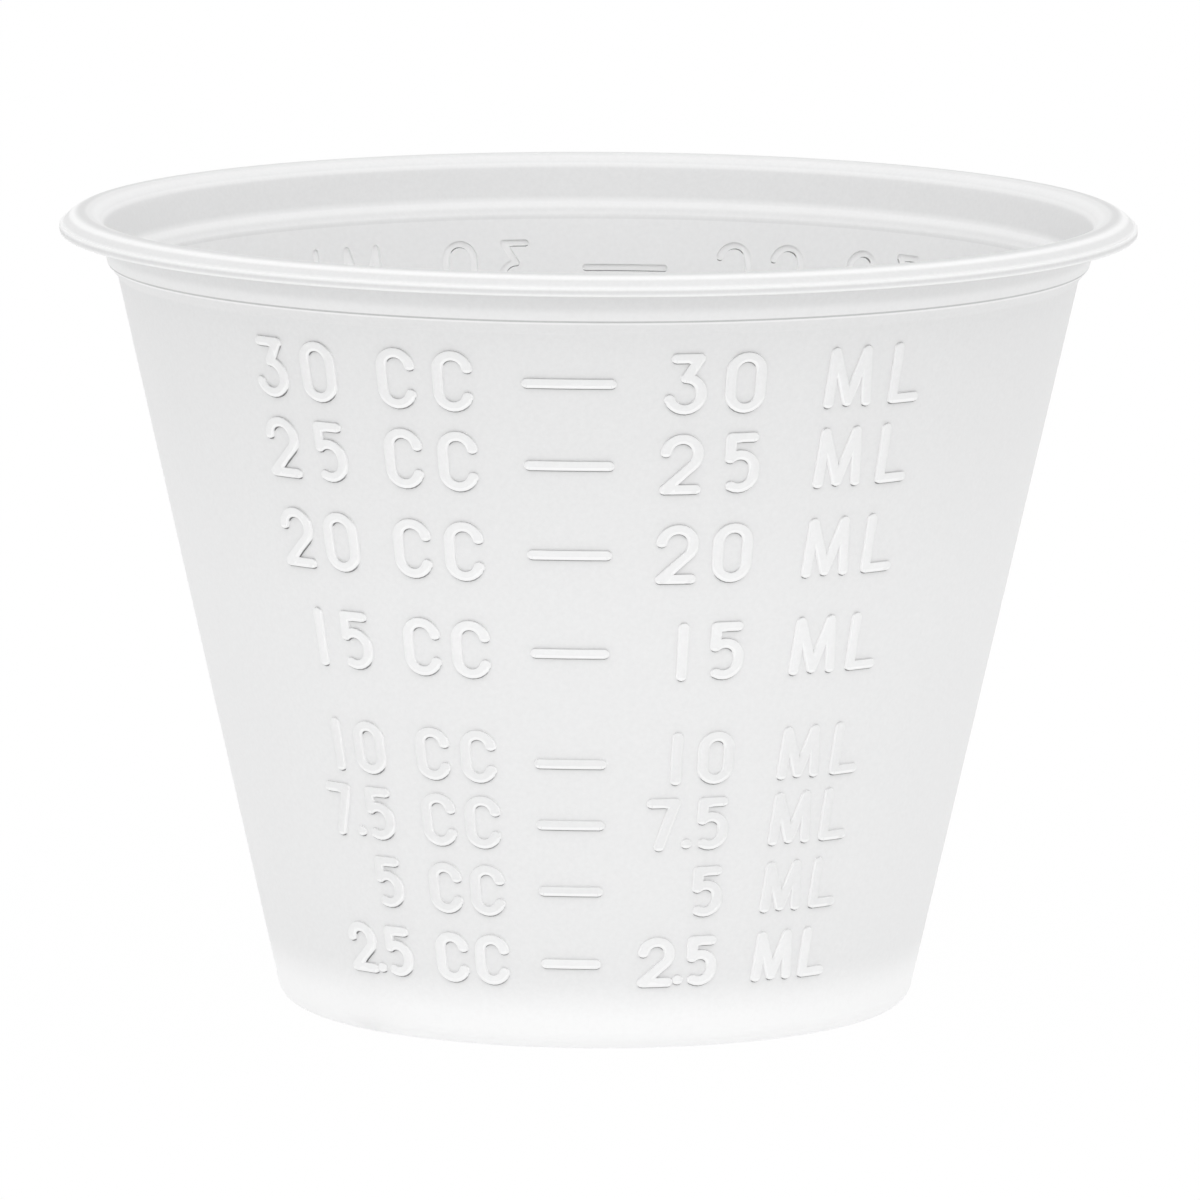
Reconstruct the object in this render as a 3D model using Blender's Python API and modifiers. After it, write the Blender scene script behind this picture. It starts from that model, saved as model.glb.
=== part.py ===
"""A 30 ml medicine cup, moulded in one piece from thin translucent plastic.

The cup is a turned shell: a flat foot, a plain conical wall, a ledge that
stops stacked cups from jamming, a short neck and a rolled rim that ends in a
small square lip. A raised bar marks each volume on the front of the wall, and
again on the back, and each bar is hollow on the inside, as the mould leaves it.
"""

import math

import bmesh
import bpy
from mathutils import Vector

# Wall, in metres and degrees
CUP_HEIGHT = 0.0362
FOOT_RADIUS = 0.01427
WALL_LEAN = 12.76
WALL_THICKNESS = 0.0003
HEEL_RADIUS = 0.0011

# Stacking ledge, how far it lies below the rim and stands out from the wall
LEDGE_DROP = 0.0023
LEDGE_REACH = 0.00034
LEDGE_STEP = 0.00055

# Neck and rolled rim, the roll's radius being that of its hollow side
NECK_LEAN = 14.8
NECK_ANGLE = 180.0 - NECK_LEAN
ROLL_RADIUS = 0.00075
CREST_ANGLE = 90.0

# Lip, how far its edge stands out from the crest of the roll and lies below it
LIP_REACH = 0.00107
LIP_DROP = 0.00054
LIP_THICKNESS = 0.00038
LIP_EDGE_RADIUS = 0.0001

# Graduation bars: all start at one angle, and each is an arc of the wall less a trim
MARKED_MILLILITRES = (30.0, 25.0, 20.0, 15.0, 10.0, 7.5, 5.0, 2.5)
BAR_START = -9.1
BAR_SPREAD = 14.4
BAR_TRIM = 0.00113
BAR_WIDTH = 0.0005
BAR_RISE = 0.00013
BAR_EDGE_RADIUS = 0.00006
BAR_HOLLOW_WIDTH = 0.0003
BAR_ROOT_SHARE = 0.5
MARK_CLEARANCE = 0.0005

# Fineness of the turned and rounded shapes
SEGMENTS = 96
ROLL_HALF_STEPS = 4
HEEL_STEPS = 5
EDGE_STEPS = 2
BAR_END_STEPS = 6
BAR_STEPS = 4
MERGE_DISTANCE = 0.000001

# Frosted natural polypropylene
PLASTIC_COLOUR = (0.9, 0.91, 0.92, 1.0)
PLASTIC_ROUGHNESS = 0.45

MILLILITRE = 0.000001


def clear_scene():
    for item in list(bpy.data.objects):
        bpy.data.objects.remove(item, do_unlink=True)


def new_collection(name):
    collection = bpy.data.collections.new(name)
    bpy.context.scene.collection.children.link(collection)
    return collection


def plastic():
    material = bpy.data.materials.new("frosted_polypropylene")
    material.use_nodes = True
    shader = material.node_tree.nodes["Principled BSDF"]
    shader.inputs["Base Color"].default_value = PLASTIC_COLOUR
    shader.inputs["Roughness"].default_value = PLASTIC_ROUGHNESS
    shader.inputs["Metallic"].default_value = 0.0
    return material


# The turned section: pairs of (radius, height)


def wall_radius(height):
    """Outside radius of the plain wall at a height above the table."""
    return FOOT_RADIUS + height * math.tan(math.radians(WALL_LEAN))


def arc(centre, radius, start, end, steps):
    """Points on an arc, with the angles in degrees from the outward direction."""
    points = []
    for step in range(steps + 1):
        angle = math.radians(start + (end - start) * step / steps)
        points.append(
            (
                centre[0] + radius * math.cos(angle),
                centre[1] + radius * math.sin(angle),
            )
        )
    return points


def ledge_corner():
    """The lower outside corner of the neck, which overhangs the wall."""
    height = CUP_HEIGHT - LEDGE_DROP
    return wall_radius(height) + LEDGE_REACH, height


def step_foot():
    """Where the slope under the ledge comes back to the plain wall."""
    height = ledge_corner()[1] - LEDGE_STEP
    return wall_radius(height), height


def roll_centre():
    """Centre of the rolled rim, which the neck's outer side runs into without a corner."""
    height = CUP_HEIGHT - WALL_THICKNESS - ROLL_RADIUS
    lean = math.radians(NECK_LEAN)
    ledge_radius, ledge_height = ledge_corner()
    neck_radius = ledge_radius + (height - ledge_height) * math.tan(lean)
    return neck_radius + ROLL_RADIUS / math.cos(lean), height


def heel_centre():
    """Centre of the round heel between the foot and the wall."""
    lean = math.radians(WALL_LEAN)
    return wall_radius(HEEL_RADIUS) - HEEL_RADIUS / math.cos(lean), HEEL_RADIUS


def outer_path():
    """The side that faces the hand and the table, from the roll down to the foot."""
    lip_angle = roll_angle(ROLL_RADIUS, lip_underside())
    path = roll_arc(ROLL_RADIUS, lip_angle, NECK_ANGLE)
    path.append(ledge_corner())
    path.append(step_foot())
    path += arc(heel_centre(), HEEL_RADIUS, -WALL_LEAN, -90.0, HEEL_STEPS)
    path.append((0.0, 0.0))
    return path


def lip_top():
    return CUP_HEIGHT - LIP_DROP


def lip_underside():
    return lip_top() - LIP_THICKNESS


def roll_angle(radius, height):
    """Direction from the roll's centre to a height on its outward half."""
    rise = (height - roll_centre()[1]) / radius
    return math.degrees(math.asin(rise))


def roll_arc(radius, start, end):
    """Over the roll in two halves that meet on its crest, so that the crest is a point."""
    first = arc(roll_centre(), radius, start, CREST_ANGLE, ROLL_HALF_STEPS)
    second = arc(roll_centre(), radius, CREST_ANGLE, end, ROLL_HALF_STEPS)
    return first + second[1:]


def inward_normal(start, end):
    """Unit normal on the right of the direction of travel, which is the cup's inside."""
    along = Vector(end) - Vector(start)
    return Vector((along.y, -along.x)).normalized()


def thickened(path):
    """The path moved inwards by the wall's thickness, with its corners mitred."""
    normals = [inward_normal(a, b) for a, b in zip(path, path[1:])]
    moved = []
    for index, point in enumerate(path):
        before = normals[max(index - 1, 0)]
        after = normals[min(index, len(normals) - 1)]
        middle = (before + after).normalized()
        reach = WALL_THICKNESS / middle.dot(after)
        place = Vector(point) + middle * reach
        moved.append((place.x, place.y))
    return moved


def lip_path():
    """Round the square edge of the lip, from its top to its underside."""
    centre_radius = roll_centre()[0] + LIP_REACH - LIP_EDGE_RADIUS
    upper = (centre_radius, lip_top() - LIP_EDGE_RADIUS)
    lower = (centre_radius, lip_underside() + LIP_EDGE_RADIUS)
    path = arc(upper, LIP_EDGE_RADIUS, 90.0, 0.0, EDGE_STEPS)
    path += arc(lower, LIP_EDGE_RADIUS, 0.0, -90.0, EDGE_STEPS)
    return path


def inner_path():
    """The side that holds the medicine, from the middle of the floor up over the roll."""
    top_radius = ROLL_RADIUS + WALL_THICKNESS
    lip_angle = roll_angle(top_radius, lip_top())
    below_roll = outer_path()[2 * ROLL_HALF_STEPS :]
    path = list(reversed(thickened(below_roll)[1:]))
    return path + roll_arc(top_radius, NECK_ANGLE, lip_angle)


def turned_shell(name, section, collection):
    """A solid of revolution from a section that starts and ends on the axis."""
    mesh = bpy.data.meshes.new(name)
    points = [(radius, 0.0, height) for radius, height in section]
    edges = [(i, i + 1) for i in range(len(points) - 1)]
    mesh.from_pydata(points, edges, [])
    shell = bpy.data.objects.new(name, mesh)
    collection.objects.link(shell)
    screw = shell.modifiers.new("Turn", "SCREW")
    screw.angle = math.tau
    screw.steps = SEGMENTS
    screw.render_steps = SEGMENTS
    screw.use_merge_vertices = True
    screw.merge_threshold = MERGE_DISTANCE
    screw.use_smooth_shade = True
    return shell


# Graduation bars


def filled_height(millilitres):
    """Height above the table of the surface of a measured volume in the cup."""
    lean = math.radians(WALL_LEAN)
    slope = math.tan(lean)
    start_radius = FOOT_RADIUS - WALL_THICKNESS / math.cos(lean)
    floor_radius = start_radius + WALL_THICKNESS * slope
    cubed = floor_radius**3 + 3.0 * slope * millilitres * MILLILITRE / math.pi
    return (cubed ** (1.0 / 3.0) - start_radius) / slope


def bar_heights():
    """Heights of the bars, leaving out a volume that would reach the ledge."""
    highest = step_foot()[1] - BAR_WIDTH / 2.0 - MARK_CLEARANCE
    heights = [filled_height(volume) for volume in MARKED_MILLILITRES]
    return [height for height in heights if height < highest]


def bar_length(height):
    """Length of a bar along the wall, end to end."""
    return wall_radius(height) * math.radians(BAR_SPREAD) - BAR_TRIM


def bar_middle(height):
    """Angle of the middle of a bar about the cup's axis."""
    return math.radians(BAR_START) + bar_length(height) / 2.0 / wall_radius(height)


def stadium(length, width):
    """A long outline with round ends, and points along its sides for the bend."""
    radius = width / 2.0
    straight = length / 2.0 - radius
    side = [straight * (1.0 - 2.0 * i / BAR_STEPS) for i in range(1, BAR_STEPS)]
    right = arc((straight, 0.0), radius, -90.0, 90.0, BAR_END_STEPS)
    left = arc((-straight, 0.0), radius, 90.0, 270.0, BAR_END_STEPS)
    top = [(x, radius) for x in side]
    bottom = [(-x, -radius) for x in side]
    return right + top + left + bottom


def flat_bar(length, width, thickness):
    """A mesh of one bar lying flat, centred on the origin, with its edges rounded."""
    curve = bpy.data.curves.new("bar_outline", "CURVE")
    curve.dimensions = "2D"
    curve.fill_mode = "BOTH"
    curve.extrude = thickness / 2.0 - BAR_EDGE_RADIUS
    curve.bevel_depth = BAR_EDGE_RADIUS
    curve.bevel_resolution = 0
    curve.offset = -BAR_EDGE_RADIUS
    outline = stadium(length, width)
    spline = curve.splines.new("POLY")
    spline.points.add(len(outline) - 1)
    for point, place in zip(spline.points, outline):
        point.co = (place[0], place[1], 0.0, 1.0)
    spline.use_cyclic_u = True
    guide = bpy.data.objects.new("bar_outline", curve)
    bpy.context.scene.collection.objects.link(guide)
    bpy.context.view_layer.update()
    graph = bpy.context.evaluated_depsgraph_get()
    mesh = bpy.data.meshes.new_from_object(guide.evaluated_get(graph))
    bpy.data.objects.remove(guide, do_unlink=True)
    bpy.data.curves.remove(curve)
    return mesh


def wrapped(point, height, turn, depth):
    """A point of a flat bar laid on the wall, its own Z pointing out of the cup."""
    lean = math.radians(WALL_LEAN)
    row_radius = wall_radius(height)
    angle = turn + point.x / row_radius
    up = point.y * math.cos(lean)
    out = (point.z - depth) / math.cos(lean)
    radius = wall_radius(height + up) + out
    return Vector((radius * math.sin(angle), -radius * math.cos(angle), height + up))


def bar_set(name, width, top_depth, collection):
    """All the bars of both scales as one helper, their tops at a depth below the wall's skin."""
    joined = bmesh.new()
    thickness = WALL_THICKNESS * BAR_ROOT_SHARE + BAR_RISE
    middle_depth = top_depth + thickness / 2.0
    narrowing = BAR_WIDTH - width
    for height in bar_heights():
        for half_turn in (0.0, math.pi):
            flat = flat_bar(bar_length(height) - narrowing, width, thickness)
            bar = bmesh.new()
            bar.from_mesh(flat)
            bpy.data.meshes.remove(flat)
            bmesh.ops.remove_doubles(bar, verts=bar.verts, dist=MERGE_DISTANCE)
            turn = half_turn + bar_middle(height)
            for vertex in bar.verts:
                vertex.co = wrapped(vertex.co, height, turn, middle_depth)
            bmesh.ops.recalc_face_normals(bar, faces=bar.faces)
            finished = bpy.data.meshes.new(name)
            bar.to_mesh(finished)
            bar.free()
            joined.from_mesh(finished)
            bpy.data.meshes.remove(finished)
    mesh = bpy.data.meshes.new(name)
    joined.to_mesh(mesh)
    joined.free()
    helper = bpy.data.objects.new(name, mesh)
    helper.hide_render = True
    helper.display_type = "WIRE"
    collection.objects.link(helper)
    return helper


def add_boolean(target, name, operation, other):
    modifier = target.modifiers.new(name, "BOOLEAN")
    modifier.operation = operation
    modifier.solver = "EXACT"
    modifier.object = other


def main():
    clear_scene()
    parts = new_collection("medicine_cup")
    helpers = new_collection("bar_helpers")

    section = inner_path() + lip_path() + outer_path()
    cup = turned_shell("cup", section, parts)
    cup.data.materials.append(plastic())

    raised = bar_set("raised_bars", BAR_WIDTH, -BAR_RISE, helpers)
    hollow = bar_set("bar_hollows", BAR_HOLLOW_WIDTH, WALL_THICKNESS - BAR_RISE, helpers)
    add_boolean(cup, "Raise bars", "UNION", raised)
    add_boolean(cup, "Hollow bars", "DIFFERENCE", hollow)


main()
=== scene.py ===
# %% [markdown]
# A 30 ml medicine cup is the small cloudy cup that a dose of syrup is handed out in.
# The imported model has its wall, ledge, rolled rim and measuring bars, and this lesson gives it the
# look of the real cup. It is loaded first, because every size below has to agree with it.

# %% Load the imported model
import math

import bmesh
import bpy
from mathutils import Matrix, Vector


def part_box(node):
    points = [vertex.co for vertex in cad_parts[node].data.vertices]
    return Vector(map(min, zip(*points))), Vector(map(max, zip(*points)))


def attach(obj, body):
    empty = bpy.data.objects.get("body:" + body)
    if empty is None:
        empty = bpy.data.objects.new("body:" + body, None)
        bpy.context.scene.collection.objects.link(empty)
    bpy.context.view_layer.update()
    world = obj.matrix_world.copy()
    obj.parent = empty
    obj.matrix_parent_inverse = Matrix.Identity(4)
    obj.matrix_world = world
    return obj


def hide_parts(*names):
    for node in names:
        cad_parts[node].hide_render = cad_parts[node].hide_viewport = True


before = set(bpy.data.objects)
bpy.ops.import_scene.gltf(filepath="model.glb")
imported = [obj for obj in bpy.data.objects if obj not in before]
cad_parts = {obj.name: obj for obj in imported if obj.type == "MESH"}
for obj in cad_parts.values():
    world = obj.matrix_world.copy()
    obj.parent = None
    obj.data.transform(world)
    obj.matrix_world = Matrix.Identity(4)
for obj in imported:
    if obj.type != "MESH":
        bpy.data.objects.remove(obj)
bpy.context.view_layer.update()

# %% [markdown]
# The cup is one moulding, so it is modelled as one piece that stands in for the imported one.
# A moulding is measured by its steel: a cone for the wall, a small ledge that keeps stacked cups
# from jamming, a short neck, and a roll that ends in a square lip.
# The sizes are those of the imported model, in metres and degrees, and the height is read from it.
# Two differ in the lines of the scale, further down: the hollow behind a line is 0.33 mm wide here
# and 0.30 mm there, and a line's edges are rounded by 0.09 mm here and by 0.06 mm there.

# %% Sizes of the moulding
CUP_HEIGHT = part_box("cup")[1].z
FOOT_RADIUS = 0.01427
WALL_LEAN = 12.76
WALL_THICKNESS = 0.0003
HEEL_RADIUS = 0.0011
LEDGE_DROP = 0.0023
LEDGE_REACH = 0.00034
LEDGE_STEP = 0.00055
NECK_LEAN = 14.8
ROLL_RADIUS = 0.00075
LIP_REACH = 0.00107
LIP_DROP = 0.00054
LIP_THICKNESS = 0.00038
LIP_EDGE_RADIUS = 0.0001

SLOPE = math.tan(math.radians(WALL_LEAN))
STRETCH = 1.0 / math.cos(math.radians(WALL_LEAN))


def wall_radius(height):
    """Outside radius of the plain wall at a height above the table."""
    return FOOT_RADIUS + height * SLOPE


print("cup height, mm:", round(CUP_HEIGHT * 1000.0, 3))

# %% [markdown]
# A turned shape is easiest from its section: the outline of one cut through the wall.
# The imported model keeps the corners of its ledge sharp, but steel is cut with round tools, and the
# light on the rim comes from small rounds. So each of those corners gets an arc of its own here.

# %% Helpers for the section
ARC_STEP = 9.0


def arc(centre, radius, start, end, step=ARC_STEP):
    """Points on an arc, its angles in degrees from the outward direction."""
    count = max(2, math.ceil(abs(end - start) / step))
    angles = [math.radians(start + (end - start) * i / count) for i in range(count + 1)]
    return [(centre[0] + radius * math.cos(a), centre[1] + radius * math.sin(a)) for a in angles]


def rounded(before, corner, after, radius, count=4):
    """The arc that takes a corner's place between two straight sides."""
    corner = Vector(corner)
    back = (Vector(before) - corner).normalized()
    ahead = (Vector(after) - corner).normalized()
    half = back.angle(ahead) / 2.0
    centre = corner + (back + ahead).normalized() * radius / math.sin(half)
    first = (corner + back * radius / math.tan(half) - centre).normalized()
    last = (corner + ahead * radius / math.tan(half) - centre).normalized()
    rays = [first.slerp(last, i / count) for i in range(count + 1)]
    return [tuple(centre + ray * radius) for ray in rays]


def spaced(start, end, gap):
    """Points between two ends, no further apart than a gap, without the ends."""
    count = math.ceil((Vector(end) - Vector(start)).length / gap)
    return [tuple(Vector(start).lerp(Vector(end), i / count)) for i in range(1, count)]


def moved_in(start, end, depth):
    """A side of the section moved towards the inside of the cup."""
    along = (Vector(end) - Vector(start)).normalized()
    inward = Vector((along.y, -along.x)) * depth
    return Vector(start) + inward, Vector(end) + inward


def crossing(side, other):
    """Where two sides of the section meet when they are drawn on."""
    along = side[1] - side[0]
    across = other[1] - other[0]
    share = (other[0] - side[0]).cross(across) / along.cross(across)
    return tuple(side[0] + along * share)


print("sides in a quarter arc:", len(arc((0.0, 0.0), ROLL_RADIUS, 0.0, 90.0)) - 1)

# %% [markdown]
# The outline starts in the middle of the floor, runs up the inside, over the roll, round the lip,
# back under the roll, and down the outside to the middle of the foot.
# The inner side is the outer side moved in by the wall's thickness, so the wall is even as far as
# the lip, which is a little thicker.

# %% Draw the section
WALL_ROW = 0.002
LEDGE_ROUND = 0.00012
STEP_ROUND = 0.00025
INNER_ROUND = 0.00022
ROLL_STEP = 7.5
LIP_STEP = 30.0

ledge_height = CUP_HEIGHT - LEDGE_DROP
ledge = (wall_radius(ledge_height) + LEDGE_REACH, ledge_height)
step = (wall_radius(ledge_height - LEDGE_STEP), ledge_height - LEDGE_STEP)
heel = (wall_radius(HEEL_RADIUS) - HEEL_RADIUS * STRETCH, HEEL_RADIUS)
heel_top = arc(heel, HEEL_RADIUS, -WALL_LEAN, -90.0)[0]
roll_height = CUP_HEIGHT - WALL_THICKNESS - ROLL_RADIUS
neck_slope = math.tan(math.radians(NECK_LEAN))
neck_radius = ledge[0] + (roll_height - ledge_height) * neck_slope
roll = (neck_radius + ROLL_RADIUS / math.cos(math.radians(NECK_LEAN)), roll_height)
neck_angle = 180.0 - NECK_LEAN
neck_top = arc(roll, ROLL_RADIUS, neck_angle, 90.0)[0]
print("ledge radius and height, mm:", [round(v * 1000.0, 3) for v in ledge])


def roll_over(radius, start, end):
    """Over the roll in two halves that meet on its crest, so that the crest is a point."""
    return arc(roll, radius, start, 90.0, ROLL_STEP) + arc(roll, radius, 90.0, end, ROLL_STEP)[1:]


def lip_angle(radius, height):
    """Direction from the middle of the roll to a height on its outward half."""
    return math.degrees(math.asin((height - roll_height) / radius))


inner_neck = moved_in(neck_top, ledge, WALL_THICKNESS)
inner_slope = moved_in(ledge, step, WALL_THICKNESS)
inner_wall = moved_in(step, heel_top, WALL_THICKNESS)
inner_ledge = crossing(inner_neck, inner_slope)
inner_step = crossing(inner_slope, inner_wall)
inner_heel = arc(heel, HEEL_RADIUS - WALL_THICKNESS, -90.0, -WALL_LEAN)

lip_top = CUP_HEIGHT - LIP_DROP
lip_under = lip_top - LIP_THICKNESS
lip_radius = roll[0] + LIP_REACH - LIP_EDGE_RADIUS
top_radius = ROLL_RADIUS + WALL_THICKNESS

inner_step_round = rounded(inner_heel[-1], inner_step, inner_ledge, INNER_ROUND)
outer_step_round = rounded(ledge, step, heel_top, STEP_ROUND)
roll_top = roll_over(top_radius, neck_angle, lip_angle(top_radius, lip_top))

inside = [(0.0, WALL_THICKNESS)] + inner_heel
inside += spaced(inner_heel[-1], inner_step, WALL_ROW) + inner_step_round
inside += rounded(inner_step, inner_ledge, tuple(inner_neck[0]), INNER_ROUND) + roll_top
lip = arc((lip_radius, lip_top - LIP_EDGE_RADIUS), LIP_EDGE_RADIUS, 90.0, 0.0, LIP_STEP)
lip += arc((lip_radius, lip_under + LIP_EDGE_RADIUS), LIP_EDGE_RADIUS, 0.0, -90.0, LIP_STEP)
outside = roll_over(ROLL_RADIUS, lip_angle(ROLL_RADIUS, lip_under), neck_angle)
outside += rounded(neck_top, ledge, step, LEDGE_ROUND) + outer_step_round
outside += spaced(step, heel_top, WALL_ROW)
outside += arc(heel, HEEL_RADIUS, -WALL_LEAN, -90.0) + [(0.0, 0.0)]
section = inside + lip + outside
print("points in the section:", len(section))

# %% [markdown]
# The section is drawn in the mesh itself, one extruded point after another, and then spun round the
# upright axis, as a lathe would turn it. The spin leaves a doubled seam and a fan of doubled points
# on the axis. They are merged, and only then are the normals made to point out of the plastic.

# %% Spin a drawn section
SPIN_STEPS = 180
MERGE_DISTANCE = 0.000002


def clean(piece, distance=MERGE_DISTANCE):
    """Merges the doubles of a closed piece and turns its faces outwards."""
    shape = bmesh.new()
    shape.from_mesh(piece.data)
    bmesh.ops.remove_doubles(shape, verts=shape.verts, dist=distance)
    bmesh.ops.recalc_face_normals(shape, faces=shape.faces)
    if shape.calc_volume(signed=True) < 0.0:
        bmesh.ops.reverse_faces(shape, faces=shape.faces)
    shape.to_mesh(piece.data)
    shape.free()


def spun(name, path, steps):
    """A turned piece from a path of radius and height that starts and ends on the axis."""
    bpy.ops.object.select_all(action="DESELECT")
    bpy.ops.mesh.primitive_plane_add(size=WALL_THICKNESS, location=(0.0, 0.0, 0.0))
    piece = bpy.context.object
    piece.name = name
    bpy.ops.object.mode_set(mode="EDIT")
    bpy.ops.mesh.select_all(action="SELECT")
    bpy.ops.mesh.merge(type="CENTER")
    bpy.ops.transform.translate(value=(path[0][0], 0.0, path[0][1]))
    for here, there in zip(path, path[1:]):
        move = (there[0] - here[0], 0.0, there[1] - here[1])
        bpy.ops.mesh.extrude_region_move(TRANSFORM_OT_translate={"value": move})
    bpy.ops.mesh.select_all(action="SELECT")
    bpy.ops.mesh.spin(steps=steps, angle=math.tau, center=(0.0, 0.0, 0.0), axis=(0.0, 0.0, 1.0))
    bpy.ops.object.mode_set(mode="OBJECT")
    clean(piece)
    return piece


def open_edges(piece):
    """How many edges of a piece don't have two faces, which is none on a closed one."""
    shape = bmesh.new()
    shape.from_mesh(piece.data)
    count = sum(len(edge.link_faces) != 2 for edge in shape.edges)
    shape.free()
    return count


cup = spun("cup_moulding", section, SPIN_STEPS)
print("turned cup:", len(cup.data.polygons), "faces,", open_edges(cup), "open edges")

# %% [markdown]
# The scale is moulded into the wall: a line is cut in the outer steel with a round tool, and the
# inner steel stands up behind it, so the wall keeps its thickness and is hollow behind each line.
# Raised lines could be painted with bump, but then they would vanish from the side.
# So one profile is drawn for the raised side and a narrower one for the hollow, and each is carried
# along the middle line of a letter. Round pads of the same profile close the ends and the corners.

# %% Profiles of a moulded line
LINE_WIDTH = 0.0005
LINE_RISE = 0.00013
LINE_ROUND = 0.00009
LINE_ROOT = 0.00015
HOLLOW_WIDTH = 0.00033
HOLLOW_TOP = LINE_RISE - WALL_THICKNESS
HOLLOW_ROUND = 0.00006
HOLLOW_ROOT = 0.00045
SHOULDER_STEP = 45.0
PAD_STEPS = 12
PAD_SPARE = 1.02
FINE_MERGE = 0.0000001


def half_profile(width, top, radius, root):
    """Half of a line's cross-section, from the middle of its top down to the middle of its root."""
    shoulder = arc((width / 2.0 - radius, top - radius), radius, 90.0, 0.0, SHOULDER_STEP)
    return [(0.0, top)] + shoulder + [(width / 2.0, -root), (0.0, -root)]


def whole_profile(half):
    """Both halves of a cross-section as one closed loop."""
    right = half[1:-1]
    left = [(-x, z) for x, z in reversed(right)]
    return right + left


ridge_half = half_profile(LINE_WIDTH, LINE_RISE, LINE_ROUND, LINE_ROOT)
hollow_half = half_profile(HOLLOW_WIDTH, HOLLOW_TOP, HOLLOW_ROUND, HOLLOW_ROOT)
print("points in a line's profile:", len(whole_profile(ridge_half)))

# %% [markdown]
# In the mould each line is the track of a cutter moved along a letter, so its section is the same
# all the way along and its ends are round.
# Here the profile is carried along each run of a letter, the runs are joined into one body, and a
# small spun pad rounds off every end and corner.

# %% Carry a profile along a line


def flat_curve(name, points, closed):
    """A curve of straight pieces lying flat, through the given points."""
    curve = bpy.data.curves.new(name, "CURVE")
    curve.dimensions = "2D"
    spline = curve.splines.new("POLY")
    spline.points.add(len(points) - 1)
    for place, point in zip(spline.points, points):
        place.co = (point[0], point[1], 0.0, 1.0)
    spline.use_cyclic_u = closed
    item = bpy.data.objects.new(name, curve)
    bpy.context.scene.collection.objects.link(item)
    return item


def carried(points, profile):
    """A line's profile carried along a flat path, as a closed mesh."""
    closed = (Vector(points[0]) - Vector(points[-1])).length < MERGE_DISTANCE
    path = flat_curve("line_path", points[:-1] if closed else points, closed)
    path.data.bevel_mode = "OBJECT"
    path.data.bevel_object = profile
    path.data.use_fill_caps = True
    bpy.ops.object.select_all(action="DESELECT")
    path.select_set(True)
    bpy.context.view_layer.objects.active = path
    bpy.ops.object.convert(target="MESH")
    clean(path)
    return path


def joined_with(target, other, operation):
    """Applies a Boolean to a piece and deletes the piece it was given."""
    tool = target.modifiers.new("Join", "BOOLEAN")
    tool.operation = operation
    tool.solver = "MANIFOLD"
    tool.object = other
    bpy.context.view_layer.objects.active = target
    bpy.ops.object.modifier_apply(modifier=tool.name)
    bpy.data.objects.remove(other, do_unlink=True)


def copied(piece):
    """A copy of a piece with a mesh of its own."""
    twin = piece.copy()
    twin.data = piece.data.copy()
    bpy.context.scene.collection.objects.link(twin)
    return twin


print("a line's width and rise, mm:", [round(v * 1000.0, 2) for v in (LINE_WIDTH, LINE_RISE)])

# %% [markdown]
# The letters are plain single-line engraver's letters: straight runs and arcs.
# A font would bring its own shapes, so each letter is a short list of runs instead, drawn for a
# letter 2.4 mm high and measured from its middle in millimetres.

# %% Draw the letters
MILLIMETRE = 0.001
LETTER_HEIGHT = 2.4
LETTER_STEP = 15.0


def bow(x, y, radius, start, end):
    """A round part of a letter, by its middle and radius in millimetres and its two angles."""
    return arc((x, y), radius, start, end, LETTER_STEP)


LETTERS = {
    "0": [bow(0.0, 0.51, 0.69, 0, 180) + bow(0.0, -0.51, 0.69, 180, 360) + [(0.69, 0.51)]],
    "1": [[(0.0, 1.2), (0.0, -1.2)]],
    "2": [bow(0.0, 0.47, 0.73, 172, -48) + [(-0.73, -1.2)], [(-0.73, -1.2), (0.68, -1.2)]],
    "3": [[(-0.43, 1.2), (0.6, 1.2)], [(0.6, 1.2), (0.03, 0.27)], bow(0.0, -0.46, 0.74, 88, -160)],
    "5": [
        [(0.57, 1.2), (-0.45, 1.2)],
        [(-0.45, 1.2), (-0.45, 0.21)],
        [(-0.45, 0.21)] + bow(0.0, -0.32, 0.7, 120, 0) + bow(0.0, -0.49, 0.7, 0, -120),
    ],
    "7": [[(-0.6, 1.2), (0.6, 1.2)], [(0.6, 1.2), (-0.15, -1.2)]],
    ".": [[(0.0, -1.08)]],
    "C": [bow(-0.06, 0.5, 0.7, 10, 180) + bow(-0.06, -0.5, 0.7, 180, 342)],
    "M": [
        [(-1.0, -1.2), (-0.87, 1.2)],
        [(-0.87, 1.2), (-0.03, -1.15)],
        [(-0.03, -1.15), (0.72, 1.2)],
        [(0.72, 1.2), (1.0, -1.2)],
    ],
    "L": [[(-0.65, 1.2), (-0.65, -1.2)], [(-0.65, -1.2), (0.63, -1.2)]],
}
print("letters drawn:", "".join(LETTERS))

# %% [markdown]
# A letter's runs are first brought to the size of its row, and a long stroke is split into short
# sides, so that it can bend with the wall later.
# Every run is then carried, and pads are joined on its ends. A closed loop has no ends.

# %% Model a letter
RUN_GAP = 0.7
END_DIGITS = 7


def scaled_run(run, height):
    """A run of a letter in metres, for a letter of a given height, with long sides split."""
    share = height / LETTER_HEIGHT
    points = [run[0]]
    for here, there in zip(run, run[1:]):
        points += spaced(here, there, RUN_GAP) + [there]
    scale = share * MILLIMETRE
    return [(x * scale, y * scale) for x, y in points]


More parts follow.
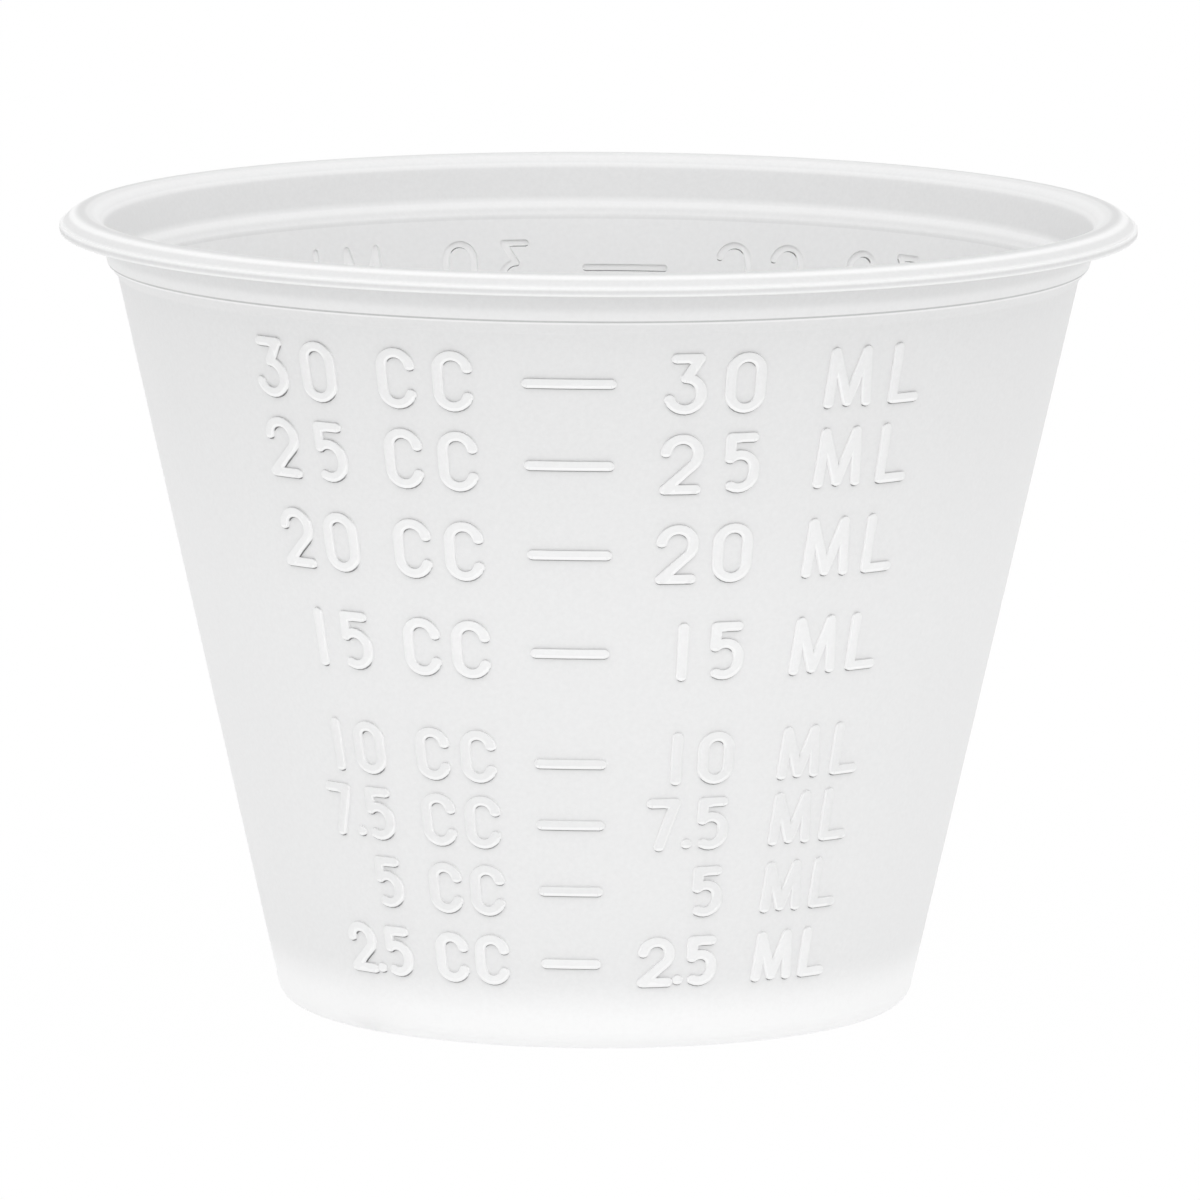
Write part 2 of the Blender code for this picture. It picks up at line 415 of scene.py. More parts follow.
def line_body(runs, half):
    """One closed body from the runs of a letter, with a pad at each end."""
    profile = flat_curve("line_profile", whole_profile(half), True)
    pad = spun("line_pad", [(x * PAD_SPARE, z) for x, z in half], PAD_STEPS)
    body = None
    ends = {}
    for run in runs:
        for end in (run[0], run[-1]):
            ends[tuple(round(v, END_DIGITS) for v in end)] = end
        if len(run) == 1:
            continue
        part = carried(run, profile)
        if body is None:
            body = part
        else:
            joined_with(body, part, "UNION")
    if body is not None and (Vector(runs[0][0]) - Vector(runs[0][-1])).length < MERGE_DISTANCE:
        ends = {}
    for end in ends.values():
        spot = copied(pad)
        spot.data.transform(Matrix.Translation((end[0], end[1], 0.0)))
        if body is None:
            body = spot
        else:
            joined_with(body, spot, "UNION")
    bpy.data.objects.remove(profile, do_unlink=True)
    bpy.data.objects.remove(pad, do_unlink=True)
    clean(body, FINE_MERGE)
    return body


print("steps in the spin of a pad:", PAD_STEPS)

# %% [markdown]
# Each row of the scale stands at the height to which its volume fills the cup, and has a bar in the
# middle, a number and CC on the left, and a number and ML on the right.
# The rows are laid out flat and then wrapped on the cone, point by point, so the letters follow it.

# %% Rows of the scale
MARKED = ("30", "25", "20", "15", "10", "7.5", "5", "2.5")
ROW_SIZE = (2.4, 2.38, 2.35, 2.3, 2.06, 2.07, 1.98, 1.95)
ROW_LIFT = (-0.03, 0.06, 0.03, 0.05, 0.22, 0.0, -0.09, 0.07)
BAR_START = -9.1
BAR_SPREAD = 14.4
BAR_TRIM = 0.00113
LEFT_DIGIT = -35.5
RIGHT_DIGIT = 17.85
DIGIT_PITCH = 7.4
ONE_PITCH = 5.95
DECIMAL_PITCH = 7.55
POINT_PITCH = 3.7
UNIT_ANGLES = (("C", -24.5), ("C", -17.3), ("M", 31.6), ("L", 40.0))
MILLILITRE = 0.000001


def filled_height(millilitres):
    """Height above the table of the surface of a measured volume in the cup."""
    start_radius = FOOT_RADIUS - WALL_THICKNESS * STRETCH
    floor_radius = start_radius + WALL_THICKNESS * SLOPE
    cubed = floor_radius**3 + 3.0 * SLOPE * millilitres * MILLILITRE / math.pi
    return (cubed ** (1.0 / 3.0) - start_radius) / SLOPE


def number_angles(number, last):
    """The letters of a number with their angles, the last one at a given angle."""
    if len(number) == 1:
        return [(number, last)]
    if "." in number:
        return [(number[0], last - DECIMAL_PITCH), (".", last - POINT_PITCH), (number[2], last)]
    pitch = ONE_PITCH if number[0] == "1" else DIGIT_PITCH
    return [(number[0], last - pitch), (number[1], last)]


def wrap(piece, height, turn):
    """Lays a flat body on the wall, its own upward direction pointing out of the cup."""
    row_radius = wall_radius(height)
    for point in piece.data.vertices:
        angle = turn + point.co.x / row_radius
        level = height + point.co.y / STRETCH
        radius = wall_radius(level) + point.co.z * STRETCH
        point.co = (radius * math.sin(angle), -radius * math.cos(angle), level)


rows = []
for number, size, lift in zip(MARKED, ROW_SIZE, ROW_LIFT):
    height = filled_height(float(number))
    places = number_angles(number, LEFT_DIGIT) + number_angles(number, RIGHT_DIGIT)
    places += UNIT_ANGLES
    rows.append((number, height, size, lift * MILLIMETRE, places))
    print("row", number, "at", round(height * 1000.0, 2), "mm with", len(places), "letters")

# %% [markdown]
# The whole scale is modelled twice: once as the raised lines outside, and once as the narrower
# lines that the moulding tool leaves hollow inside.
# Through the mouth the far wall shows the same marks, so every row is repeated half a turn on.

# %% Model the scale


def join_all(pieces, name):
    """Several pieces as one object."""
    bpy.ops.object.select_all(action="DESELECT")
    for piece in pieces:
        piece.select_set(True)
    bpy.context.view_layer.objects.active = pieces[0]
    bpy.ops.object.join()
    pieces[0].name = name
    return pieces[0]


def both_sides(piece):
    """A piece and its copy turned half round the cup, as one object."""
    twin = copied(piece)
    twin.data.transform(Matrix.Rotation(math.pi, 4, "Z"))
    return join_all([piece, twin], piece.name)


def scale_body(name, half):
    """Every bar and letter of one scale, on both sides of the cup."""
    pieces = []
    for number, height, size, lift, places in rows:
        length = wall_radius(height) * math.radians(BAR_SPREAD) - BAR_TRIM - LINE_WIDTH
        ends = ((-length / 2.0, 0.0), (length / 2.0, 0.0))
        run = [ends[0]] + spaced(*ends, RUN_GAP * MILLIMETRE) + [ends[1]]
        bar = line_body([run], half)
        middle = (length + LINE_WIDTH) / 2.0 / wall_radius(height)
        wrap(bar, height, math.radians(BAR_START) + middle)
        pieces.append(bar)
        models = {}
        for letter, angle in places:
            if letter not in models:
                runs = [scaled_run(run, size) for run in LETTERS[letter]]
                models[letter] = line_body(runs, half)
            piece = copied(models[letter])
            wrap(piece, height + lift / STRETCH, math.radians(angle))
            pieces.append(piece)
        for model in models.values():
            bpy.data.objects.remove(model, do_unlink=True)
    return both_sides(join_all(pieces, name))


ridges = scale_body("scale_ridges", ridge_half)
print("raised scale:", len(ridges.data.polygons), "faces,", open_edges(ridges), "open edges")
hollows = scale_body("scale_hollows", hollow_half)
print("hollow scale:", len(hollows.data.polygons), "faces,", open_edges(hollows), "open edges")

# %% [markdown]
# The raised lines are joined to the wall and the hollow ones are cut out of it, so the scale and
# the cup are one skin, as they are when the plastic fills the mould.

# %% Join the scale and the cup
joined_with(cup, ridges, "UNION")
joined_with(cup, hollows, "DIFFERENCE")
triangles = sum(len(face.vertices) - 2 for face in cup.data.polygons)
print("cup with its scale:", triangles, "triangles,", open_edges(cup), "open edges")

# %% [markdown]
# The cuts leave wall faces with many corners, and a poor split of those into triangles makes thin
# needles that face the wrong way and show as scratches.
# They are split here so that the triangles come out as even as they can.

# %% Split the many-sided faces
MOST_CORNERS = 4


def split_evenly(piece):
    """Splits the faces with many corners into triangles that are as even as can be."""
    mesh = bmesh.new()
    mesh.from_mesh(piece.data)
    many = [face for face in mesh.faces if len(face.verts) > MOST_CORNERS]
    bmesh.ops.triangulate(mesh, faces=many, quad_method="BEAUTY", ngon_method="BEAUTY")
    mesh.to_mesh(piece.data)
    mesh.free()
    return len(many)


print("faces split:", split_evenly(cup), "and open edges:", open_edges(cup))

# %% [markdown]
# The scale was cut into the long strips of the turned wall, and blended normals would show every
# cut as a smudge. The wall is a plain cone, so its normals are written from the cone itself, and
# all other faces keep the ones that Blender blends across their rounds.

# %% Smooth the surfaces
SMOOTH_ANGLE = 50.0
CONE_SLACK = 0.000006

outer_limits = (outer_step_round[-1][1], heel_top[1])
inner_limits = (inner_step_round[0][1], inner_heel[-1][1])


def cone_side(corners, moved, limits):
    """Whether all the corners of a face lie on a cone, between an upper and a lower height."""
    for corner in corners:
        distance = math.hypot(corner.x, corner.y) - wall_radius(corner.z) + moved
        if abs(distance) > CONE_SLACK:
            return False
        if not limits[1] - CONE_SLACK < corner.z < limits[0] + CONE_SLACK:
            return False
    return True


def write_cone_normals(piece):
    """Gives the faces of the plain wall the normals of the cone, on both of its sides."""
    mesh = piece.data
    lean = math.radians(WALL_LEAN)
    normals = [Vector((0.0, 0.0, 0.0))] * len(mesh.loops)
    written = 0
    for face in mesh.polygons:
        corners = [mesh.vertices[index].co for index in face.vertices]
        turned_out = None
        if cone_side(corners, 0.0, outer_limits):
            turned_out = 1.0
        elif cone_side(corners, WALL_THICKNESS * STRETCH, inner_limits):
            turned_out = -1.0
        if turned_out is None:
            continue
        for loop, corner in zip(face.loop_indices, corners):
            flat = Vector((corner.x, corner.y, 0.0)).normalized() * math.cos(lean)
            normals[loop] = Vector((flat.x, flat.y, -math.sin(lean))) * turned_out
        written += 1
    mesh.normals_split_custom_set(normals)
    return written


bpy.ops.object.select_all(action="DESELECT")
cup.select_set(True)
bpy.context.view_layer.objects.active = cup
bpy.ops.object.shade_smooth_by_angle(angle=math.radians(SMOOTH_ANGLE))
print("wall faces with the cone's own normals:", write_cone_normals(cup))

# %% [markdown]
# Light enters the skin of frosted plastic, is scattered, and leaves all over, so the cup is cloudy,
# pale and almost without shadows, and what draws it are its fine edges. These are painted into its
# colour here: painted highlights on the corners that the mould filled sharply, and lines of painted
# shade on the crest of the roll, the edge of the lip and the ledge.
# To place such lines, every point needs to know how far along the section it lies. That distance
# is stored on the mesh as an attribute, in millimetres from the crest, less than zero inside.

# %% Measure along the section
RIM_FLOOR = 0.033
RIM_POINTS = sum(point[1] > RIM_FLOOR for point in inside)
INSIDE_WALL = -10.0
OUTSIDE_WALL = 10.0
PLACE_DIGITS = 5

crest = section.index(arc(roll, top_radius, neck_angle, 90.0, ROLL_STEP)[-1])
walked = [0.0]
for here, there in zip(section, section[1:]):
    walked.append(walked[-1] + math.dist(here, there) / MILLIMETRE)


def along_section(radius, height):
    """How far from the crest the nearest place on the section lies, in millimetres."""
    if height < RIM_FLOOR:
        middle = wall_radius(height) - WALL_THICKNESS * STRETCH / 2.0
        return INSIDE_WALL if radius < middle else OUTSIDE_WALL
    spot = Vector((radius, height))
    best = None
    for index in range(len(inside) - RIM_POINTS, len(section) - 1):
        here, there = Vector(section[index]), Vector(section[index + 1])
        side = there - here
        share = min(max((spot - here).dot(side) / side.length_squared, 0.0), 1.0)
        gap = (spot - here - side * share).length
        if best is None or gap < best[0]:
            best = (gap, walked[index] + share * (walked[index + 1] - walked[index]))
    return best[1] - walked[crest]


known = {}
distances = []
for point in cup.data.vertices:
    spot = (math.hypot(point.co.x, point.co.y), point.co.z)
    place = tuple(round(v, PLACE_DIGITS) for v in spot)
    if place not in known:
        known[place] = along_section(*place)
    distances.append(known[place])
rim = cup.data.attributes.new("rim_mm", "FLOAT", "POINT")
rim.data.foreach_set("value", distances)
print("places measured along the section:", len(known))

# %% [markdown]
# Thin plastic shows its corners as fine dark and light lines, because light is caught and let out
# there; here they are painted shade and painted highlights. The corners are found on the drawn
# section, so the lines can be set by name and stay on them if a size is changed.

# %% Corners of the section
INNER_STEP = along_section(*inner_step)
INNER_LEDGE = along_section(*inner_ledge)
ROLL_START = along_section(*roll_top[0])
LIP_START = along_section(*lip[0])
LIP_END = along_section(*lip[-1])
LIP_MIDDLE = (LIP_START + LIP_END) / 2.0
LEDGE_CORNER = along_section(*ledge)
corners = (INNER_STEP, INNER_LEDGE, ROLL_START, LIP_START, LIP_END, LEDGE_CORNER)
print("corners, mm from the crest:", [round(value, 2) for value in corners])

# %% [markdown]
# The tone of the plastic is set for each part of the cup, and painted light and shade are in it:
# painted light at the foot, which stands on white paper, and on the inside towards the floor, and
# painted shade towards the top of the outside. A FROM and a TO are the two heights in metres
# between which one tone fades into the next.
# Fine soft lines of painted light and painted shade mark the corners of the rim, where a thin wall
# gathers light. Each is three numbers: its place along the section and its half width, both in
# millimetres, and its change of tone, lighter above zero and darker below. They are painted on the
# cup itself and look the same from every side.

# %% Tones of the wall and the rim, with painted light and shade
# Painted light at the foot and on the low inside, and painted shade at the top of the outside.
FOOT_PAINTED_LIGHT_TONE = 1.0
FOOT_FROM = 0.0012
FOOT_TO = 0.0036
LOW_TONE = 0.87
LOW_FROM = 0.0034
LOW_TO = 0.008
MIDDLE_TONE = 0.88
MIDDLE_FROM = 0.018
MIDDLE_TO = 0.032
TOP_PAINTED_SHADE_TONE = 0.835
INSIDE_PAINTED_LIGHT_TONE = 1.0
INSIDE_FROM = 0.004
INSIDE_TO = 0.026
INSIDE_TONE = 0.91
RIM_START = 0.03328
RIM_TONE = 0.85
# Painted highlights where the change is above zero, and painted shade lines where it is below.
RIM_PAINTED_LINES = (
    (INNER_STEP, 0.35, 0.04),
    (INNER_LEDGE - 0.1, 0.42, 0.11),
    (ROLL_START + 0.32, 0.18, 0.09),
    (-0.7, 0.44, 0.08),
    (0.53, 0.24, 0.14),
    (0.82, 0.26, -0.02),
    (LIP_START, 0.2, 0.12),
    (LIP_MIDDLE, 0.14, -0.1),
    (LIP_END - 0.04, 0.24, 0.12),
)
# A painted shade line on the crest of the roll.
CREST_PAINTED_SHADE_LINES = ((0.07, 0.3, -0.12),)
# A painted shade line on the ledge corner, with painted light on either side of it.
LEDGE_PAINTED_LINES = (
    (LEDGE_CORNER - 0.22, 0.5, 0.08),
    (LEDGE_CORNER, 0.08, -0.35),
    (LEDGE_CORNER + 0.1, 0.1, 0.09),
)
print("lines round the rim:", len(RIM_PAINTED_LINES + CREST_PAINTED_SHADE_LINES + LEDGE_PAINTED_LINES))

# %% [markdown]
# A material is a tree of small nodes. These helpers add one node, do one sum, fade softly between
# two values, mix two values, and draw one soft painted line of light or shade round the rim, by the
# sign of its change. In the core of such a line, the first fifth of its half width, the change of
# tone is whole.

# %% Helpers for the nodes
LINE_CORE = 0.2


def node(tree, kind, **inputs):
    """A shader node with some of its sockets set."""
    made = tree.nodes.new(kind)
    for name, value in inputs.items():
        made.inputs[name.replace("_", " ")].default_value = value
    return made


def maths(tree, kind, first, second=None):
    """A Math node between outputs or plain numbers, giving its result."""
    made = tree.nodes.new("ShaderNodeMath")
    made.operation = kind
    for socket, value in zip(made.inputs, (first, second)):
        if value is None:
            continue
        if isinstance(value, (int, float)):
            socket.default_value = value
        else:
            tree.links.new(value, socket)
    return made.outputs[0]


def eased(tree, value, low, high, start=0.0, end=1.0):
    """From a start to an end between two values, without corners."""
    made = node(tree, "ShaderNodeMapRange", From_Min=low, From_Max=high, To_Min=start, To_Max=end)
    made.interpolation_type = "SMOOTHSTEP"
    tree.links.new(value, made.inputs["Value"])
    return made.outputs["Result"]


def mixed(tree, share, first, second):
    """One value fading into another."""
    kept = maths(tree, "MULTIPLY", maths(tree, "SUBTRACT", 1.0, share), first)
    return maths(tree, "ADD", kept, maths(tree, "MULTIPLY", share, second))


def painted_edge_line(tree, distance, place, half_width, change):
    """A painted line of light or shade round the rim: the change at its place, none past its half
    width.
    """
    away = maths(tree, "ABSOLUTE", maths(tree, "SUBTRACT", distance, place))
    return eased(tree, away, half_width * LINE_CORE, half_width, change, 0.0)


print("core of the finest line, mm:", LINE_CORE * min(line[1] for line in LEDGE_PAINTED_LINES))

# %% [markdown]
# The plastic is natural polypropylene with a satin skin: mostly milky, a little clear.
# Its finish is set on the shader itself, and its tone, with its painted light and shade, is worked
# out from the height of each point and from the distance along the section that was stored on the
# mesh.

# %% Frosted plastic
PLASTIC_ROUGHNESS = 0.42
PLASTIC_IOR = 1.4
PLASTIC_CLEARNESS = 0.12

plastic = bpy.data.materials.new("frosted_polypropylene")
plastic.use_nodes = True
tree = plastic.node_tree
skin = tree.nodes["Principled BSDF"]
skin.inputs["Roughness"].default_value = PLASTIC_ROUGHNESS
skin.inputs["IOR"].default_value = PLASTIC_IOR
skin.inputs["Transmission Weight"].default_value = PLASTIC_CLEARNESS

place = tree.nodes.new("ShaderNodeTexCoord").outputs["Object"]
split = tree.nodes.new("ShaderNodeSeparateXYZ")
tree.links.new(place, split.inputs[0])
height = split.outputs["Z"]
measured = tree.nodes.new("ShaderNodeAttribute")
measured.attribute_name = "rim_mm"
distance = measured.outputs["Fac"]

# The outside tone by height, with painted light at the foot and painted shade towards the top.
low_wall_painted_light = eased(tree, height, FOOT_FROM, FOOT_TO, FOOT_PAINTED_LIGHT_TONE, LOW_TONE)
middle_wall = eased(tree, height, LOW_FROM, LOW_TO, 0.0, MIDDLE_TONE - LOW_TONE)
top_wall_painted_shade = eased(tree, height, MIDDLE_FROM, MIDDLE_TO, 0.0, TOP_PAINTED_SHADE_TONE - MIDDLE_TONE)
outside_tone = maths(tree, "ADD", maths(tree, "ADD", low_wall_painted_light, middle_wall), top_wall_painted_shade)
within = maths(tree, "LESS_THAN", distance, 0.0)
# The inside is painted lighter towards the floor, as painted light.
inside_tone = eased(tree, height, INSIDE_FROM, INSIDE_TO, INSIDE_PAINTED_LIGHT_TONE, INSIDE_TONE)
wall_tone = mixed(tree, within, outside_tone, inside_tone)
rim_tone = RIM_TONE
# The rim's painted highlights and painted shade lines are added to its tone.
for line in RIM_PAINTED_LINES + CREST_PAINTED_SHADE_LINES + LEDGE_PAINTED_LINES:
    rim_tone = maths(tree, "ADD", rim_tone, painted_edge_line(tree, distance, *line))
plain_tone = mixed(tree, maths(tree, "GREATER_THAN", height, RIM_START), wall_tone, rim_tone)
print("nodes for the wall and the rim:", len(tree.nodes))

# %% [markdown]
# The raised lines are read by their shoulders, where their light and shade are painted. The shader
# can tell a shoulder from the wall, because on a cone the direction straight up the wall is known at
# every point: it is compared with the way the surface faces. On the inside a hollow faces the other
# way, so the comparison is turned round there. The top of a line and the floor of a hollow are told
# from the wall by how far they stand out from the cone.

# %% Which way a shoulder faces
SCALE_BOTTOM = 0.0016
SCALE_TOP = 0.0332

lean = math.radians(WALL_LEAN)


def vector_maths(tree, kind, first, second=None, third=None):
    """A Vector Math node between outputs or plain vectors."""
    made = tree.nodes.new("ShaderNodeVectorMath")
    made.operation = kind
    for socket, value in zip(made.inputs, (first, second, third)):
        if value is None:
            continue
        if isinstance(value, tuple):
            socket.default_value = value
        else:
            tree.links.new(value, socket)
    return made


flat = vector_maths(tree, "MULTIPLY", place, (1.0, 1.0, 0.0)).outputs[0]
ray = vector_maths(tree, "NORMALIZE", flat).outputs[0]
reach = vector_maths(tree, "LENGTH", flat).outputs["Value"]
up_the_wall = vector_maths(
    tree, "MULTIPLY_ADD", ray, (math.sin(lean), math.sin(lean), 0.0), (0.0, 0.0, math.cos(lean))
).outputs[0]
off_the_wall = vector_maths(
    tree, "MULTIPLY_ADD", ray, (math.cos(lean), math.cos(lean), 0.0), (0.0, 0.0, -math.sin(lean))
).outputs[0]
faced = tree.nodes.new("ShaderNodeNewGeometry").outputs["Normal"]
turned = maths(tree, "ADD", 1.0, maths(tree, "MULTIPLY", within, -2.0))
upward = maths(
    tree, "MULTIPLY", vector_maths(tree, "DOT_PRODUCT", up_the_wall, faced).outputs["Value"], turned
)
outward = vector_maths(tree, "DOT_PRODUCT", off_the_wall, faced).outputs["Value"]
along = maths(tree, "ADD", maths(tree, "POWER", upward, 2.0), maths(tree, "POWER", outward, 2.0))
sideways = maths(tree, "SQRT", maths(tree, "MAXIMUM", maths(tree, "SUBTRACT", 1.0, along), 0.0))

below_rim = maths(tree, "LESS_THAN", height, SCALE_TOP)
on_wall = maths(tree, "MULTIPLY", below_rim, maths(tree, "GREATER_THAN", height, SCALE_BOTTOM))
cone_reach = maths(tree, "ADD", maths(tree, "MULTIPLY", height, SLOPE), FOOT_RADIUS)
proud = maths(tree, "SUBTRACT", reach, cone_reach)
print("nodes with the directions of the shoulders:", len(tree.nodes))

# %% [markdown]
# Light and shade on the lines of the scale are painted into the colour. Lower shoulders get a crisp
# line of painted shade and upper ones a soft one, which is softer still on the lower rows. Painted
# light is added on shoulders at the sides, as a painted glint on the first gentle turn of a lower
# shoulder, on the tops of the lines in the highest and the lowest rows, and on the floor of a hollow.
# A SHADE is the share of the tone that is taken away as painted shade, and a LIGHT is an amount of
# painted light that is added. The FROM and TO of LOWER, UPPER, SIDE and GLINT are shares of facing
# fully that way, and all the others are in metres.

# %% Painted light and shade on the lines of the scale
LOWER_SHADE = 0.86
LOWER_FROM = 0.35
LOWER_TO = 0.7
UPPER_SHADE = 0.3
UPPER_FROM = 0.2
UPPER_TO = 1.0
SIDE_LIGHT = 0.12
SIDE_FROM = 0.3
SIDE_TO = 0.9
GLINT_LIGHT = 0.13
GLINT_FROM = 0.03
GLINT_TO = 0.12
TOP_LIGHT = 0.055
TOP_FROM = 0.00004
TOP_TO = 0.00012
FOOT_LIGHT = 0.06
FOOT_LIGHT_FROM = 0.0042
FOOT_LIGHT_TO = 0.0068
HOLLOW_LIGHT = 0.25
HOLLOW_FROM = -0.0003
HOLLOW_TO = -0.00026
SOFT_SHARE = 0.3
SOFT_FROM = 0.012
SOFT_TO = 0.02

downward = maths(tree, "MULTIPLY", upward, -1.0)
lower = maths(tree, "MULTIPLY", eased(tree, downward, LOWER_FROM, LOWER_TO), on_wall)
gentle = eased(tree, downward, GLINT_FROM, GLINT_TO)
gentle = maths(tree, "MULTIPLY", gentle, eased(tree, downward, LOWER_FROM, LOWER_TO, 1.0, 0.0))
glint = maths(tree, "MULTIPLY", gentle, on_wall)
upper = maths(tree, "MULTIPLY", eased(tree, upward, UPPER_FROM, UPPER_TO), on_wall)
side = maths(tree, "MULTIPLY", eased(tree, sideways, SIDE_FROM, SIDE_TO), on_wall)
top = maths(tree, "MULTIPLY", eased(tree, proud, TOP_FROM, TOP_TO), on_wall)
floor_of_hollow = maths(tree, "MULTIPLY", eased(tree, proud, HOLLOW_FROM, HOLLOW_TO), within)
hollow = maths(tree, "MULTIPLY", floor_of_hollow, on_wall)

top_light = maths(
    tree,
    "ADD",
    eased(tree, height, FOOT_LIGHT_FROM, FOOT_LIGHT_TO, FOOT_LIGHT, 0.0),
    eased(tree, height, SOFT_FROM, SOFT_TO, 0.0, TOP_LIGHT),
)
# Painted light is added to the tone here, and painted shade is taken away after it.
tone_with_painted_light = plain_tone
lights = ((top, top_light), (glint, GLINT_LIGHT), (hollow, HOLLOW_LIGHT), (side, SIDE_LIGHT))
for mask, light in lights:
    tone_with_painted_light = maths(tree, "ADD", tone_with_painted_light, maths(tree, "MULTIPLY", mask, light))
lower_keep = maths(tree, "SUBTRACT", 1.0, maths(tree, "MULTIPLY", lower, LOWER_SHADE))
softness = eased(tree, height, SOFT_FROM, SOFT_TO, UPPER_SHADE * SOFT_SHARE, UPPER_SHADE)
softness = maths(tree, "MULTIPLY", softness, maths(tree, "SUBTRACT", 1.0, within))
upper_keep = maths(tree, "SUBTRACT", 1.0, maths(tree, "MULTIPLY", upper, softness))
painted_light_and_shade_tone = maths(tree, "MULTIPLY", maths(tree, "MULTIPLY", tone_with_painted_light, lower_keep), upper_keep)
print("nodes with the lines of the scale:", len(tree.nodes))

# %% [markdown]
# The mould is lightly etched, which gives the cup its satin skin. Its grain is far finer than a
# millimetre, so it is a small bump and a faint mottle in the tone, both from noise in the cup's own
# coordinates.

# %% Satin grain
MOTTLE_PER_METRE = 5000.0
MOTTLE_DETAIL = 3.0
MOTTLE_ROUGHNESS = 0.6
MOTTLE_MIDDLE = 0.5
MOTTLE_DEPTH = 0.08
PLASTIC_TINT = (0.998, 0.999, 1.0)
GRAIN_PER_METRE = 9000.0
GRAIN_DETAIL = 2.0
GRAIN_STRENGTH = 0.35
GRAIN_DEPTH = 0.000004

mottle = node(
    tree,
    "ShaderNodeTexNoise",
    Scale=MOTTLE_PER_METRE,
    Detail=MOTTLE_DETAIL,
    Roughness=MOTTLE_ROUGHNESS,
)
tree.links.new(place, mottle.inputs["Vector"])
cloud = maths(tree, "SUBTRACT", mottle.outputs["Fac"], MOTTLE_MIDDLE)
cloud = maths(tree, "MULTIPLY", cloud, MOTTLE_DEPTH)
final_tone = maths(tree, "MINIMUM", maths(tree, "ADD", painted_light_and_shade_tone, cloud), 1.0)
colour = tree.nodes.new("ShaderNodeCombineColor")
for socket, tint in zip(colour.inputs, PLASTIC_TINT):
    tree.links.new(maths(tree, "MULTIPLY", final_tone, tint), socket)
tree.links.new(colour.outputs[0], skin.inputs["Base Color"])

grain = node(tree, "ShaderNodeTexNoise", Scale=GRAIN_PER_METRE, Detail=GRAIN_DETAIL)
tree.links.new(place, grain.inputs["Vector"])
satin = node(tree, "ShaderNodeBump", Strength=GRAIN_STRENGTH, Distance=GRAIN_DEPTH)
tree.links.new(grain.outputs["Fac"], satin.inputs["Height"])
tree.links.new(satin.outputs["Normal"], skin.inputs["Normal"])

cup.data.materials.clear()
cup.data.materials.append(plastic)
print("nodes in the finished plastic:", len(tree.nodes))

# %% [markdown]
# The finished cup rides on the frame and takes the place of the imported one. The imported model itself
# isn't moved or changed.

# %% Put the piece in the frame
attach(cup, "root")
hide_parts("cup")
print("riding on the frame:", cup.name)

# %% [markdown]
# The cup was photographed on white paper that runs into the white backdrop with no edge.
# The paper glows: most of what is seen of it, and most of the light that it sends, is its own glow,
# so only a trace of the cup's shadow is left on it, and it lights the cup from below. It lies a hair
# under the foot, so that the two never share a plane.

# %% White paper floor
FLOOR_SIZE = 6.0
PAPER_GAP = 0.00002
PAPER_COLOUR = (0.97, 0.97, 0.97, 1.0)
PAPER_GLOW = 0.97
PAPER_BOUNCE = 0.9
WHITE = (1.0, 1.0, 1.0, 1.0)

bpy.ops.object.select_all(action="DESELECT")
bpy.ops.mesh.primitive_plane_add(size=FLOOR_SIZE, location=(0.0, 0.0, -PAPER_GAP))
floor = bpy.context.object
floor.name = "floor"
paper = bpy.data.materials.new("white_paper")
paper.use_nodes = True
tree = paper.node_tree
tree.nodes.clear()
output = tree.nodes.new("ShaderNodeOutputMaterial")
lit = node(tree, "ShaderNodeBsdfDiffuse", Color=PAPER_COLOUR)
glow = node(tree, "ShaderNodeEmission", Color=WHITE, Strength=1.0)
seen = tree.nodes.new("ShaderNodeMixShader")
rays = tree.nodes.new("ShaderNodeLightPath").outputs
shown = maths(tree, "MAXIMUM", rays["Is Camera Ray"], rays["Is Glossy Ray"])
shown = maths(tree, "MAXIMUM", shown, rays["Is Transmission Ray"])
part_white = node(tree, "ShaderNodeMapRange", To_Min=PAPER_BOUNCE, To_Max=PAPER_GLOW)
tree.links.new(shown, part_white.inputs["Value"])
tree.links.new(part_white.outputs[0], seen.inputs[0])
tree.links.new(lit.outputs[0], seen.inputs[1])
tree.links.new(glow.outputs[0], seen.inputs[2])
tree.links.new(seen.outputs[0], output.inputs["Surface"])
floor.data.materials.append(paper)
print("paper, mm below the foot:", round(PAPER_GAP * 1000.0, 3))

# %% [markdown]
# A frosted cup looks its best in an even white room: nothing dark is mirrored in it, and its form
# shows through the thin shades at its edges.

# %% Studio room
ROOM_LIGHT = 1.0

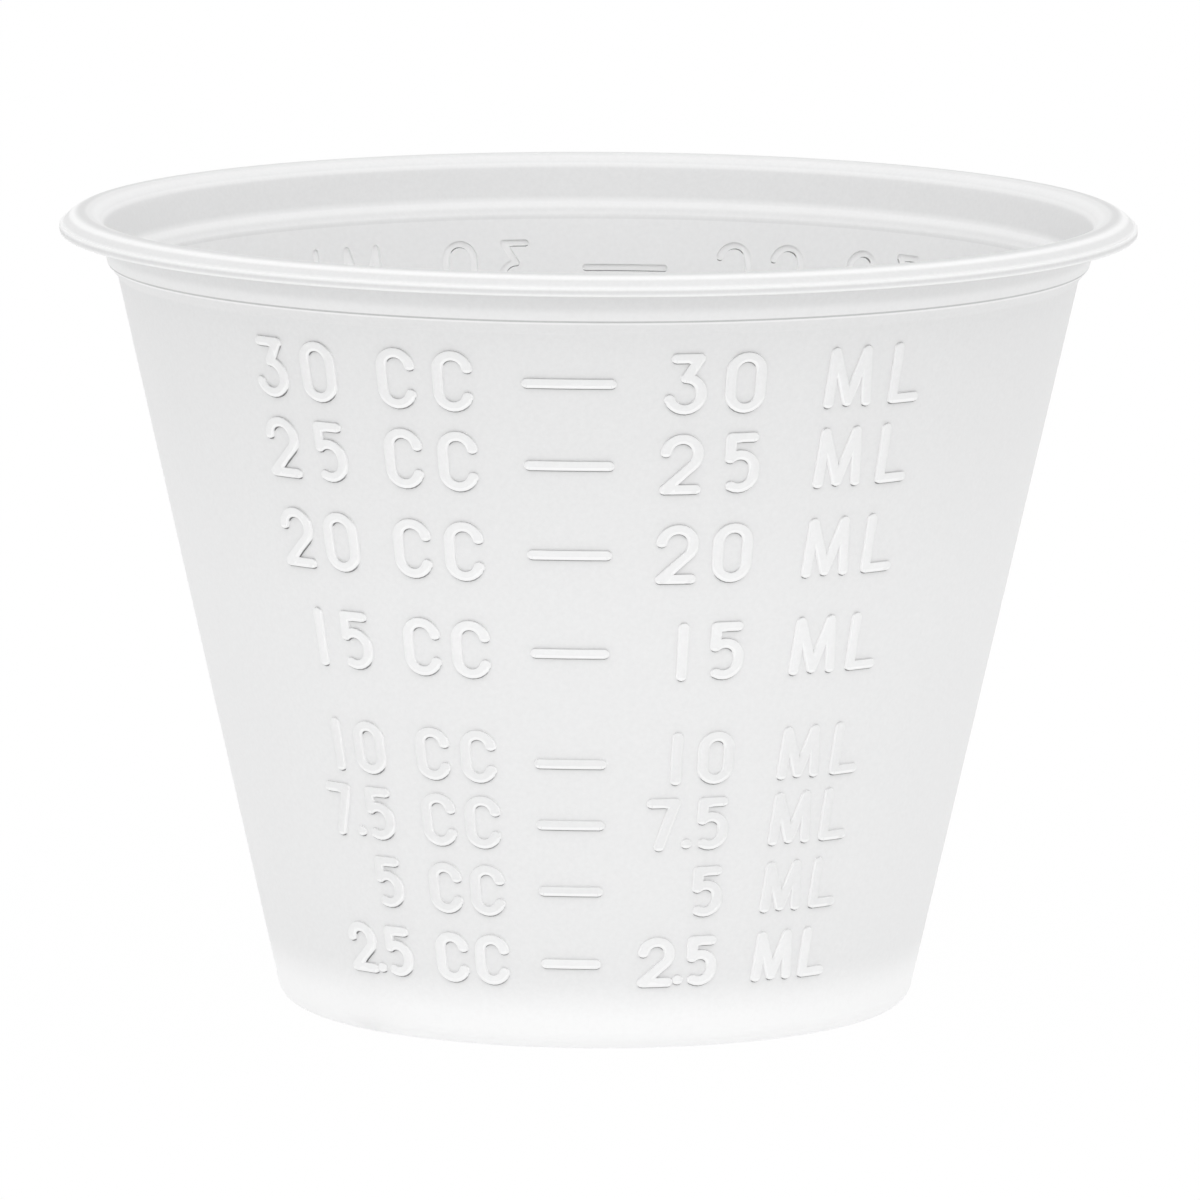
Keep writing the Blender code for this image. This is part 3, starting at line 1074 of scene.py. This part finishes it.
world = bpy.data.worlds.new("studio")
bpy.context.scene.world = world
world.use_nodes = True
tree = world.node_tree
tree.nodes.clear()
output = tree.nodes.new("ShaderNodeOutputWorld")
room = node(tree, "ShaderNodeBackground", Color=WHITE, Strength=ROOM_LIGHT)
tree.links.new(room.outputs[0], output.inputs["Surface"])
print("white room at a strength of", ROOM_LIGHT)

# %% [markdown]
# One large soft lamp stands above and in front. It is weak, and only makes the front a little
# lighter than the sides. Its place and size are in metres and its power is in watts.

# %% Front lamp
LAMP_PLACE = (0.0, -0.75, 0.55)
LAMP_TARGET = (0.0, 0.0, 0.02)
LAMP_SIZE = 0.7
LAMP_POWER = 1.0


def lamp(name, place, target, size, power):
    """A round soft lamp that faces its target."""
    data = bpy.data.lights.new(name, "AREA")
    data.shape = "DISK"
    data.size = size
    data.energy = power
    item = bpy.data.objects.new(name, data)
    bpy.context.scene.collection.objects.link(item)
    item.location = place
    item.rotation_euler = (Vector(target) - Vector(place)).to_track_quat("-Z", "Y").to_euler()
    return item


front_lamp = lamp("front_lamp", LAMP_PLACE, LAMP_TARGET, LAMP_SIZE, LAMP_POWER)
print("front lamp:", front_lamp.data.energy, "W, facing", LAMP_TARGET)

# %% [markdown]
# The camera was fitted to the outline of the cup in the photo: a long lens from two thirds of a
# metre away, looking down by about eight degrees. Lens and sensor are in millimetres, the place is
# in metres and the three turns are in radians.

# %% Camera
CAMERA_LENS = 441.615
CAMERA_SENSOR = 36.0
CAMERA_PLACE = (0.0, -0.663656, 0.114895)
CAMERA_PAN = -0.0002216
CAMERA_TILT = 1.4263323
CAMERA_ROLL = 0.0048797

camera_data = bpy.data.cameras.new("camera")
camera_data.lens = CAMERA_LENS
camera_data.sensor_width = CAMERA_SENSOR
camera = bpy.data.objects.new("camera", camera_data)
bpy.context.scene.collection.objects.link(camera)
turn = Matrix.Rotation(CAMERA_PAN, 4, "Z")
turn = turn @ Matrix.Rotation(CAMERA_TILT, 4, "X") @ Matrix.Rotation(CAMERA_ROLL, 4, "Z")
camera.matrix_world = Matrix.Translation(CAMERA_PLACE) @ turn
bpy.context.scene.camera = camera
bpy.context.scene.view_settings.view_transform = "Standard"
print("looking down by, degrees:", round(90.0 - math.degrees(CAMERA_TILT), 2))
